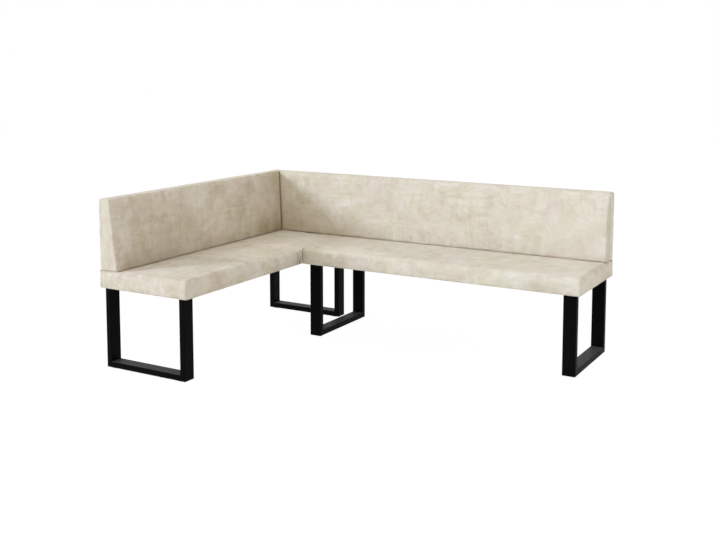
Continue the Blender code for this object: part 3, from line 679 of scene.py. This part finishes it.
class Nodes:
    """A material's node tree, with short ways to add to it."""

    def __init__(self, name):
        self.material = bpy.data.materials.new(name)
        self.material.use_nodes = True
        self.tree = self.material.node_tree
        self.shader = self.tree.nodes["Principled BSDF"]
        self.place = self.add("ShaderNodeTexCoord").outputs["Object"]

    def add(self, kind, **values):
        """A node with its properties set."""
        node = self.tree.nodes.new(kind)
        for key, value in values.items():
            setattr(node, key, value)
        return node

    def link(self, output, node, socket):
        """Join an output to a node's input."""
        self.tree.links.new(output, node.inputs[socket])

    def preset(self, node, **values):
        """A node with its sockets set."""
        for key, value in values.items():
            node.inputs[key.replace("_", " ")].default_value = value
        return node

    def scaled(self, scale, offset=(0.0, 0.0, 0.0), turn=0.0, about=(0.0, 0.0, 1.0)):
        """The object's coordinates, turned about an axis and scaled along each of their own."""
        place = self.place
        if turn:
            rotate = self.add("ShaderNodeVectorRotate", rotation_type="AXIS_ANGLE")
            self.link(place, self.preset(rotate, Axis=about, Angle=turn), "Vector")
            place = rotate.outputs["Vector"]
        mapping = self.preset(self.add("ShaderNodeMapping"), Location=offset, Scale=scale)
        self.link(place, mapping, "Vector")
        return mapping.outputs["Vector"]

    def noise(self, rate, offset=(0.0, 0.0, 0.0), detail=2.0, roughness=0.5, distortion=0.0, **turned):
        """Noise with one rate per metre, or one along each axis; gives a value of about 0.5."""
        node = self.preset(self.add("ShaderNodeTexNoise"), Scale=1.0, Detail=detail, Roughness=roughness,
                           Distortion=distortion)
        rates = (rate,) * 3 if isinstance(rate, float) else rate
        self.link(self.scaled(rates, offset, **turned), node, "Vector")
        return node.outputs["Fac"]

    def spread(self, value, low=0.0, high=1.0, least=0.0, most=1.0, smooth=False):
        """A value from low to high, spread from least to most."""
        node = self.add("ShaderNodeMapRange", interpolation_type="SMOOTHSTEP" if smooth else "LINEAR")
        self.preset(node, From_Min=low, From_Max=high, To_Min=least, To_Max=most)
        self.link(value, node, "Value")
        return node.outputs["Result"]

    def patchy(self, value, share):
        """A value where its share is 1, fading to 0.5 where that is 0."""
        node = self.add("ShaderNodeMix")
        self.link(share, node, 0)
        node.inputs[2].default_value = 0.5
        self.link(value, node, 3)
        return node.outputs[0]

    def facing(self, way):
        """1 on what faces one way, falling to 0 on what faces across it."""
        side = self.add("ShaderNodeVectorMath", operation="DOT_PRODUCT")
        self.link(self.add("ShaderNodeNewGeometry").outputs["Normal"], side, 0)
        side.inputs[1].default_value = way
        return self.spread(side.outputs["Value"], *FACING_RANGE, smooth=True)

    def near(self, centre, reach, way):
        """1 at a place, on what faces one way, falling to 0 at a distance from it along each axis."""
        scale = [1.0 / length for length in reach]
        offset = [-place * share for place, share in zip(centre, scale)]
        length = self.add("ShaderNodeVectorMath", operation="LENGTH")
        self.link(self.scaled(scale, offset), length, 0)
        fall = self.spread(length.outputs["Value"], least=1.0, most=0.0, smooth=True)
        if way is None:
            return fall
        both = self.add("ShaderNodeMath", operation="MULTIPLY")
        self.link(fall, both, 0)
        self.link(self.facing(way), both, 1)
        return both.outputs[0]

    def mixed(self, amounts):
        """0.5 plus each value's distance from 0.5 times its amount."""
        total = None
        for output, amount in amounts:
            node = self.add("ShaderNodeMath", operation="MULTIPLY_ADD")
            self.link(output, node, 0)
            node.inputs[1].default_value = amount
            if total is None:
                node.inputs[2].default_value = 0.5 - 0.5 * sum(share for _, share in amounts)
            else:
                self.link(total, node, 2)
            total = node.outputs[0]
        return total

    def ramp(self, value, stops):
        """Colours along a value."""
        node = self.add("ShaderNodeValToRGB")
        elements = node.color_ramp.elements
        while len(elements) < len(stops):
            elements.new(0.5)
        for element, (position, colour) in zip(elements, stops):
            element.position = position
            element.color = (*colour, 1.0)
        self.link(value, node, "Fac")
        return node.outputs["Color"]

    def tinted(self, colour, share, tint, kind="MULTIPLY"):
        """A colour times a tint, or mixed with it, by a share."""
        node = self.add("ShaderNodeMix", data_type="RGBA", blend_type=kind)
        self.link(share, node, "Factor")
        self.link(colour, node, 6)
        node.inputs[7].default_value = (*tint, 1.0)
        return node.outputs[2]

    def bump(self, value, distance, strength, under=None):
        """A bump from a value, over another."""
        node = self.preset(self.add("ShaderNodeBump"), Strength=strength, Distance=distance)
        self.link(value, node, "Height")
        if under is not None:
            self.link(under, node, "Normal")
        return node.outputs["Normal"]

    def finished(self, colour, normal=None, **values):
        """The material, with a colour, a normal and the shader's own sockets set."""
        self.link(colour, self.shader, "Base Color")
        if normal is not None:
            self.link(normal, self.shader, "Normal")
        self.preset(self.shader, **values)
        return self.material


# Cream velour. A rate is per metre, and a range is of a noise or of the cosine to a direction
FACING_RANGE = (0.1, 0.6)
PATCH_RANGE = (0.46, 0.58)
PATCH_RATE = 9.0
PATCH_SHIFT = 3.0
CLOUD_RATE = 5.0
CLOUD_ACROSS = 6.0
CLOUD_ACROSS_BROAD = 3.2
CREAM = ((0.20, (0.590, 0.521, 0.408)), (0.50, (0.690, 0.624, 0.525)), (0.80, (0.765, 0.718, 0.642)))
# Casts of pink and green: rates, shift in the noise, tint and range
CASTS = (((5.0, 5.0, 6.0), (3.0, 0.0, 0.0), (1.0, 0.954, 0.983), (0.46, 0.66)),
         ((7.0, 7.0, 8.0), (0.0, 4.0, 0.0), (0.972, 0.984, 0.934), (0.48, 0.68)))
TUFT_TINT = (0.95, 0.94, 0.93)
TUFT_RANGE = (0.45, 0.7)
SHEEN_TINT = (1.0, 0.97, 0.92, 1.0)

# Strokes of the pile: whether they run across the cushion, their rates along and across, their turn, and
# how much they show
STROKES = ((False, 6.0, 62.0, 0.04, 0.55), (False, 7.0, 54.0, 0.30, 0.45),
           (False, 7.0, 54.0, -0.34, 0.42), (True, 7.0, 54.0, 0.05, 0.48), (True, 9.0, 50.0, 0.75, 0.36))
BROAD_STROKES = ((True, 5.0, 24.0, 0.06, 0.60), (False, 4.0, 26.0, 0.10, 0.50),
                 (False, 5.0, 22.0, -0.40, 0.40))


def shifted(offset, move):
    """A place in the noise, moved."""
    return tuple(here + step for here, step in zip(offset, move))


def velour(name, offset, along, across, painted_shading, cloud, broad=0.0, calm=1.0):
    """Cream velour for a cushion along one axis and across another: cloudy patches and crossing strokes.

    Cloud and broad say how much the patches and the broad strokes show, and calm how much of all that
    shows on faces other than the front.
    """
    made = Nodes(name)
    front = [1.0 if axis not in (along, across) else 0.0 for axis in range(3)]
    cloud_rates = [CLOUD_RATE] * 3
    cloud_rates[across] = CLOUD_ACROSS_BROAD if broad else CLOUD_ACROSS
    clouds = made.noise(cloud_rates, offset, distortion=1.0)
    patches = made.noise(15.0, offset, distortion=0.9)
    speckle = made.noise(80.0, offset)
    shares = [(clouds, 0.50 * cloud), (patches, 0.36), (speckle, 0.14)]
    layers = [*STROKES, *((*layer[:4], layer[4] * broad) for layer in BROAD_STROKES if broad)]
    for number, (crossing, length, width, turn, amount) in enumerate(layers):
        rates = [width] * 3
        rates[across if crossing else along] = length
        stroke = made.noise(rates, offset, distortion=0.3, turn=turn, about=front)
        where = made.noise(PATCH_RATE, shifted(offset, (0.0, 0.0, PATCH_SHIFT * number)), detail=1.0)
        shares.append((made.patchy(stroke, made.spread(where, *PATCH_RANGE, smooth=True)), amount))
    shade = made.mixed(shares)
    if calm < 1.0:
        shade = made.patchy(shade, made.spread(made.facing(front), least=calm))
    colour = made.ramp(shade, CREAM)
    for rates, move, tint, limits in CASTS:
        cast = made.noise(rates, shifted(offset, move), distortion=0.8)
        colour = made.tinted(colour, made.spread(cast, *limits), tint)
    # Painted shade and painted light, from the cushion's list of them
    for centre, reach, tint, way in painted_shading:
        colour = made.tinted(colour, made.near(centre, reach, way), tint)
    tufts = made.noise(260.0, roughness=0.6)
    colour = made.tinted(colour, made.spread(tufts, *TUFT_RANGE), TUFT_TINT)
    creases = made.mixed(((patches, 0.5), (speckle, 0.25), *shares[3:]))
    creases = made.bump(creases, distance=0.0007, strength=0.5)
    pile = made.bump(made.noise(1100.0, detail=1.0), distance=0.0004, strength=0.5, under=creases)
    return made.finished(colour, pile, Roughness=0.9, Specular_IOR_Level=0.12, Sheen_Weight=0.22,
                         Sheen_Roughness=0.45, Sheen_Tint=SHEEN_TINT)


# Painted shade and painted light on the velour: darker in the corners, at the backs' feet, in the folds
# and on some faces, lighter in the crevices and on others. Each is a place, its reach along each axis,
# a tint, and the way that a face has to look to show it, or None. A reach of FAR or FARTHEST leaves its
# axis out
TO_RIGHT, TO_FRONT, UPWARD = (1.0, 0.0, 0.0), (0.0, -1.0, 0.0), (0.0, 0.0, 1.0)
FAR = 9.0
FARTHEST = 90.0
BACKS_MEET = CORNER + Vector((BACK_FOOT, -BACK_FOOT, SEAT_TOP))
SEATS_MEET = CORNER + Vector((SEAT_DEPTH, -SEAT_DEPTH, SEAT_UNDERSIDE + 0.3 * SEAT_THICKNESS))


def painted_at(place, move, *rest):
    """A painted shade or painted light at some distance from a place."""
    return (place + Vector(move), *rest)


def painted_end_strip(inset, half, tint):
    """A painted shade or painted highlight in an upright strip on the long arm's free end, by how far it
    lies from the rear.
    """
    return painted_at(CORNER, (LONG_ARM, -inset, SEAT_TOP), (FAR, half, FAR), tint, TO_RIGHT)


def painted_corner_shade(corner_tint, foot_tint, way):
    """Painted shade on both backs in the corner and at their foot, and painted light in the mitre."""
    return ((BACKS_MEET, (0.40, 0.40, 0.22), corner_tint, way),
            ((0.0, 0.0, SEAT_TOP), (FARTHEST, FARTHEST, 0.11), foot_tint, way),
            (BACKS_MEET, (0.014, 0.014, 0.20), (1.45, 1.43, 1.38), way))


def painted_joint_shade(tint):
    """Painted shade on both seats beside the inner corner where they meet, and painted light in its
    crevice.
    """
    return ((SEATS_MEET, (0.10, 0.10, 0.064), tint, None),
            (SEATS_MEET, (0.014, 0.014, 0.12), (1.32, 1.33, 1.33), None))


PAINTED_SHADING_BY_CUSHION = {
    "short_seat": (
        *painted_joint_shade((0.78, 0.76, 0.74)),
        # Painted shade in the folds beside the inner corner, and painted light on the top by its front
        # edge
        *(painted_at(SEATS_MEET, (0.0, -place, 0.0), (0.03, 0.013, 0.060), (0.68, 0.64, 0.61), None)
          for height, place, _ in GATHERED_FOLDS if height < 0.0),
        painted_at(BACKS_MEET, (0.29, -0.56, 0.004), (0.25, 0.52, 0.045), (1.19, 1.19, 1.20), UPWARD),
    ),
    "long_seat": (
        *painted_joint_shade((0.90, 0.89, 0.88)),
        # Side darker at its right end; painted shade on the top, painted light on it by the inner corner
        painted_at(SEATS_MEET, (1.38, 0.0, 0.0), (0.34, 0.05, 0.09), (0.91, 0.90, 0.87), None),
        painted_at(SEATS_MEET, (0.85, 0.2, 0.06), (0.80, 0.60, 0.10), (0.950, 0.940, 0.915), UPWARD),
        painted_at(SEATS_MEET, (0.20, 0.03, 0.065), (0.42, 0.17, 0.06), (1.14, 1.14, 1.15), UPWARD),
        # A painted dark strip and a painted highlight on the free end
        painted_end_strip(0.021, 0.018, (0.74, 0.73, 0.72)),
        painted_end_strip(0.048, 0.018, (1.10, 1.10, 1.09)),
    ),
    "short_back": (
        *painted_corner_shade((0.785, 0.750, 0.655), (0.86, 0.85, 0.83), TO_RIGHT),
        # Painted shade over most of its length from the corner on, and at its foot by the free end
        painted_at(BACKS_MEET, (0.0, 0.1, 0.15), (FAR, 0.85, 0.60), (0.835, 0.800, 0.735), TO_RIGHT),
        painted_at(BACKS_MEET, (0.0, -1.05, 0.04), (FAR, 0.55, 0.24), (0.86, 0.85, 0.83), TO_RIGHT),
    ),
    "long_back": (
        *painted_corner_shade((0.845, 0.808, 0.742), (0.93, 0.925, 0.92), TO_FRONT),
        # Painted shade and a painted highlight in strips on the free end
        painted_end_strip(0.092, 0.036, (0.88, 0.87, 0.85)),
        painted_end_strip(0.038, 0.016, (1.13, 1.13, 1.12)),
        painted_end_strip(0.014, 0.014, (0.92, 0.91, 0.90)),
    ),
}
PILE = {
    "short_seat": dict(offset=(0.0, 0.0, 0.0), along=1, across=0, cloud=1.6, broad=1.2),
    "long_seat": dict(offset=(5.1, 2.3, 0.7), along=0, across=1, cloud=1.1, broad=0.8),
    "short_back": dict(offset=(1.7, 8.2, 3.1), along=1, across=2, cloud=2.2, broad=1.5, calm=0.55),
    "long_back": dict(offset=(3.9, 4.6, 6.4), along=0, across=2, cloud=1.0),
}


def powder_coat():
    """Matt black powder coat with a fine grain, and a painted sheen that greys what faces up."""
    made = Nodes("powder_coat")
    cloud = made.noise(14.0, detail=3.0)
    grain = made.noise(1500.0)
    shade = made.mixed(((cloud, 0.7), (grain, 0.5)))
    colour = made.ramp(shade, ((0.3, (0.0014,) * 3), (0.7, (0.0028,) * 3)))
    # Painted sheen: what faces up is mixed toward grey, standing in for the light it reflects
    upward = made.add("ShaderNodeSeparateXYZ")
    made.link(made.add("ShaderNodeNewGeometry").outputs["True Normal"], upward, 0)
    painted_top_sheen = made.spread(upward.outputs["Z"], 0.55, 0.98, smooth=True)
    made.link(made.spread(cloud, least=0.42, most=0.55), made.shader, "Roughness")
    return made.finished(made.tinted(colour, painted_top_sheen, (0.066,) * 3, "MIX"),
                         made.bump(grain, distance=0.0003, strength=0.25), Specular_IOR_Level=0.03)


def zinc():
    """Zinc-plated steel with a faint yellow and blue cast."""
    made = Nodes("zinc_plate")
    cloud = made.noise(180.0, detail=3.0)
    scratches = made.noise((900.0, 120.0, 900.0))
    colour = made.ramp(cloud, ((0.35, (0.50, 0.51, 0.54)), (0.65, (0.64, 0.63, 0.58))))
    made.link(made.spread(scratches, least=0.28, most=0.50), made.shader, "Roughness")
    return made.finished(colour, Metallic=1.0)


def moulded_plastic():
    """Black moulded polyethylene with a fine eroded grain."""
    made = Nodes("glide_plastic")
    grain = made.noise(700.0)
    colour = made.ramp(grain, ((0.3, (0.010,) * 3), (0.7, (0.018, 0.018, 0.019))))
    return made.finished(colour, made.bump(grain, distance=0.0002, strength=0.3),
                         Roughness=0.6, Specular_IOR_Level=0.3)


def lining_cloth():
    """Black spun-bonded lining with its pattern of small pressed points."""
    made = Nodes("lining_cloth")
    points = made.preset(made.add("ShaderNodeTexVoronoi"), Scale=450.0)
    made.link(made.place, points, "Vector")
    fibres = made.noise((300.0, 900.0, 300.0), detail=3.0)
    colour = made.ramp(fibres, ((0.35, (0.012, 0.012, 0.013)), (0.70, (0.030, 0.030, 0.032))))
    return made.finished(colour, made.bump(points.outputs["Distance"], distance=0.0003, strength=0.5),
                         Roughness=0.95, Specular_IOR_Level=0.1)


TIMBER = ((0.30, (0.42, 0.26, 0.13)), (0.60, (0.62, 0.44, 0.25)), (0.80, (0.70, 0.53, 0.33)))


def timber():
    """Planed softwood: growth bands along the wood and fine fibres."""
    made = Nodes("timber")
    bands = made.noise((3.0, 40.0, 40.0), detail=3.0, distortion=0.6)
    fibres = made.noise((20.0, 600.0, 600.0))
    colour = made.ramp(made.mixed(((bands, 0.8), (fibres, 0.3))), TIMBER)
    return made.finished(colour, made.bump(fibres, distance=0.0003, strength=0.4), Roughness=0.65)


# The finishes, by what the names of their nodes contain
FINISHED = (("timber", ("_board", "_frame", "_panel")), ("lining", ("dust_cover",)),
            ("steel", ("_post", "foot_bar", "top_plate")), ("glide", ("_glide",)),
            ("zinc", ("_bolt", "joining_")))


def dress_nodes(finishes):
    """Give every CAD node but the covers and foams its material."""
    for name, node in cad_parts.items():
        for finish, parts in FINISHED:
            if any(part in name for part in parts):
                node.data.materials.clear()
                node.data.materials.append(finishes[finish])
                break


# Studio, in linear colours: a surface that a light of 1 falls on squarely shows its own colour

ZENITH = (0.90, 0.94, 0.93)
HORIZON = (0.56, 0.45, 0.36)
KEY_LIGHT = (1.38, 1.61, 1.95)
KEY_TRAVEL = (1.0, 1.05, -0.53)
KEY_SOFTNESS = 14.0
FRONT_LIGHT = (0.12, 0.15, 0.13)
FRONT_TRAVEL = (-0.15, 1.0, -0.35)
FRONT_SOFTNESS = 50.0
FILL_LIGHT = (0.092, 0.136, 0.160)
FILL_PLACE = (2.9, -0.3, 0.75)
FILL_AIM = (1.05, 0.3, 0.5)
FILL_SIZE = 1.0
FLOOR_HALF = 14.0
FLOOR_PAINT = (0.90, 0.885, 0.865, 1.0)
FLOOR_GLOW = 1.03
FLOOR_GLOW_SHARE = 0.95

# The camera that took the photograph, as 716 by 540 pixels, but for a smaller shift and a little pitch
SENSOR = 36.0
LENS = 50.4267
SHIFT = -0.15
CAMERA_PLACE = (2.4598, -4.3058, 1.5195)
CAMERA_PITCH = 0.10248
CAMERA_TURN = 0.52433


def camera():
    """A camera that sees the bench as the photograph does."""
    data = bpy.data.cameras.new("camera")
    data.sensor_width = SENSOR
    data.lens = LENS
    data.shift_y = SHIFT
    data.clip_start = 0.1
    data.clip_end = 100.0
    eye = placed("camera", data)
    eye.location = CAMERA_PLACE
    eye.rotation_euler = (0.5 * math.pi - CAMERA_PITCH, 0.0, CAMERA_TURN)
    SCENE.camera = eye


def seen_directly(tree):
    """1 for rays from the camera and for reflections and transmission, else 0."""
    path = tree.nodes.new("ShaderNodeLightPath")
    total = path.outputs["Is Camera Ray"]
    for name in ("Is Glossy Ray", "Is Transmission Ray"):
        join = tree.nodes.new("ShaderNodeMath")
        join.operation = "MAXIMUM"
        tree.links.new(total, join.inputs[0])
        tree.links.new(path.outputs[name], join.inputs[1])
        total = join.outputs[0]
    return total


def two_fold(tree, output_kind, share, unseen, seen):
    """Show one shader to the camera by a share, and the other to the light that falls on the bench."""
    mix = tree.nodes.new("ShaderNodeMixShader")
    tree.links.new(share, mix.inputs[0])
    tree.links.new(unseen.outputs[0], mix.inputs[1])
    tree.links.new(seen.outputs[0], mix.inputs[2])
    tree.links.new(mix.outputs[0], tree.nodes.new(output_kind).inputs["Surface"])


def sky():
    """A white backdrop that lights the bench more from above than from the sides."""
    world = bpy.data.worlds.new("studio")
    SCENE.world = world
    world.use_nodes = True
    tree = world.node_tree
    tree.nodes.clear()
    shown = tree.nodes.new("ShaderNodeBackground")
    shown.inputs["Color"].default_value = (1.0, 1.0, 1.0, 1.0)
    light = tree.nodes.new("ShaderNodeBackground")
    place = tree.nodes.new("ShaderNodeTexCoord")
    split = tree.nodes.new("ShaderNodeSeparateXYZ")
    tree.links.new(place.outputs["Generated"], split.inputs[0])
    level = tree.nodes.new("ShaderNodeMix")
    level.data_type = "RGBA"
    level.inputs[6].default_value = (*HORIZON, 1.0)
    level.inputs[7].default_value = (*ZENITH, 1.0)
    tree.links.new(split.outputs["Z"], level.inputs["Factor"])
    tree.links.new(level.outputs[2], light.inputs["Color"])
    two_fold(tree, "ShaderNodeOutputWorld", seen_directly(tree), light, shown)


def floor():
    """A white floor that shows only a trace of the bench's shadow."""
    material = bpy.data.materials.new("floor")
    material.use_nodes = True
    tree = material.node_tree
    tree.nodes.clear()
    paint = tree.nodes.new("ShaderNodeBsdfDiffuse")
    paint.inputs["Color"].default_value = FLOOR_PAINT
    glow = tree.nodes.new("ShaderNodeEmission")
    glow.inputs["Strength"].default_value = FLOOR_GLOW
    share = tree.nodes.new("ShaderNodeMath")
    share.operation = "MULTIPLY"
    share.inputs[1].default_value = FLOOR_GLOW_SHARE
    tree.links.new(seen_directly(tree), share.inputs[0])
    two_fold(tree, "ShaderNodeOutputMaterial", share.outputs[0], paint, glow)
    points = [(x * FLOOR_HALF, y * FLOOR_HALF, 0.0) for x, y in ((-1, -1), (1, -1), (1, 1), (-1, 1))]
    mesh_object("floor", points, [(0, 1, 2, 3)], material)


def aimed(name, kind, level, travel):
    """A lamp whose light travels one way; level is its strength in red, green and blue."""
    data = bpy.data.lights.new(name, kind)
    data.energy = max(*level, TINY)
    data.color = [channel / data.energy for channel in level]
    lamp = placed(name, data)
    lamp.rotation_mode = "QUATERNION"
    lamp.rotation_quaternion = Vector(travel).to_track_quat("-Z", "Y")
    return lamp


def lamps():
    """Large soft lamps far off on the left and in front, and a softbox near the right end."""
    for name, level, travel, softness in (("key", KEY_LIGHT, KEY_TRAVEL, KEY_SOFTNESS),
                                          ("front", FRONT_LIGHT, FRONT_TRAVEL, FRONT_SOFTNESS)):
        aimed(name, "SUN", level, travel).data.angle = math.radians(softness)
    travel = Vector(FILL_AIM) - Vector(FILL_PLACE)
    # The softbox's strength is what it gives at the place it is aimed at
    watts = math.pi * math.pi * travel.length_squared
    fill = aimed("fill", "AREA", [channel * watts for channel in FILL_LIGHT], travel)
    fill.data.shape = "DISK"
    fill.data.size = FILL_SIZE
    fill.location = FILL_PLACE
    fill.visible_camera = False


def main():
    SCENE.view_settings.view_transform = "Standard"
    camera()
    sky()
    lamps()
    floor()

    finishes = {"steel": powder_coat(), "zinc": zinc(), "glide": moulded_plastic(),
                "lining": lining_cloth(), "timber": timber()}
    dress_nodes(finishes)

    forms = {
        "short_seat": SeatCushion(SHORT, -SHORT_ARM, -GAP,
                                  crown=(-SHORT_ARM, -BACK_FOOT), bulge=(-SHORT_ARM, -SEAT_DEPTH)),
        "short_back": BackCushion(SHORT, SHORT_ARM),
        "long_seat": SeatCushion(LONG, SEAT_DEPTH + GAP, LONG_ARM,
                                 crown=(SEAT_DEPTH, LONG_ARM), bulge=(SEAT_DEPTH, LONG_ARM)),
        "long_back": BackCushion(LONG, LONG_ARM),
    }
    for name, form in forms.items():
        finish = velour(name + "_velour", painted_shading=PAINTED_SHADING_BY_CUSHION[name], **PILE[name])
        cushion(name + "_cushion", form, finish, (name + "_cover", name + "_foam"))
    for name in ("short_outer", "short_corner", "long_inner", "long_outer"):
        runner(name, finishes["steel"])


main()
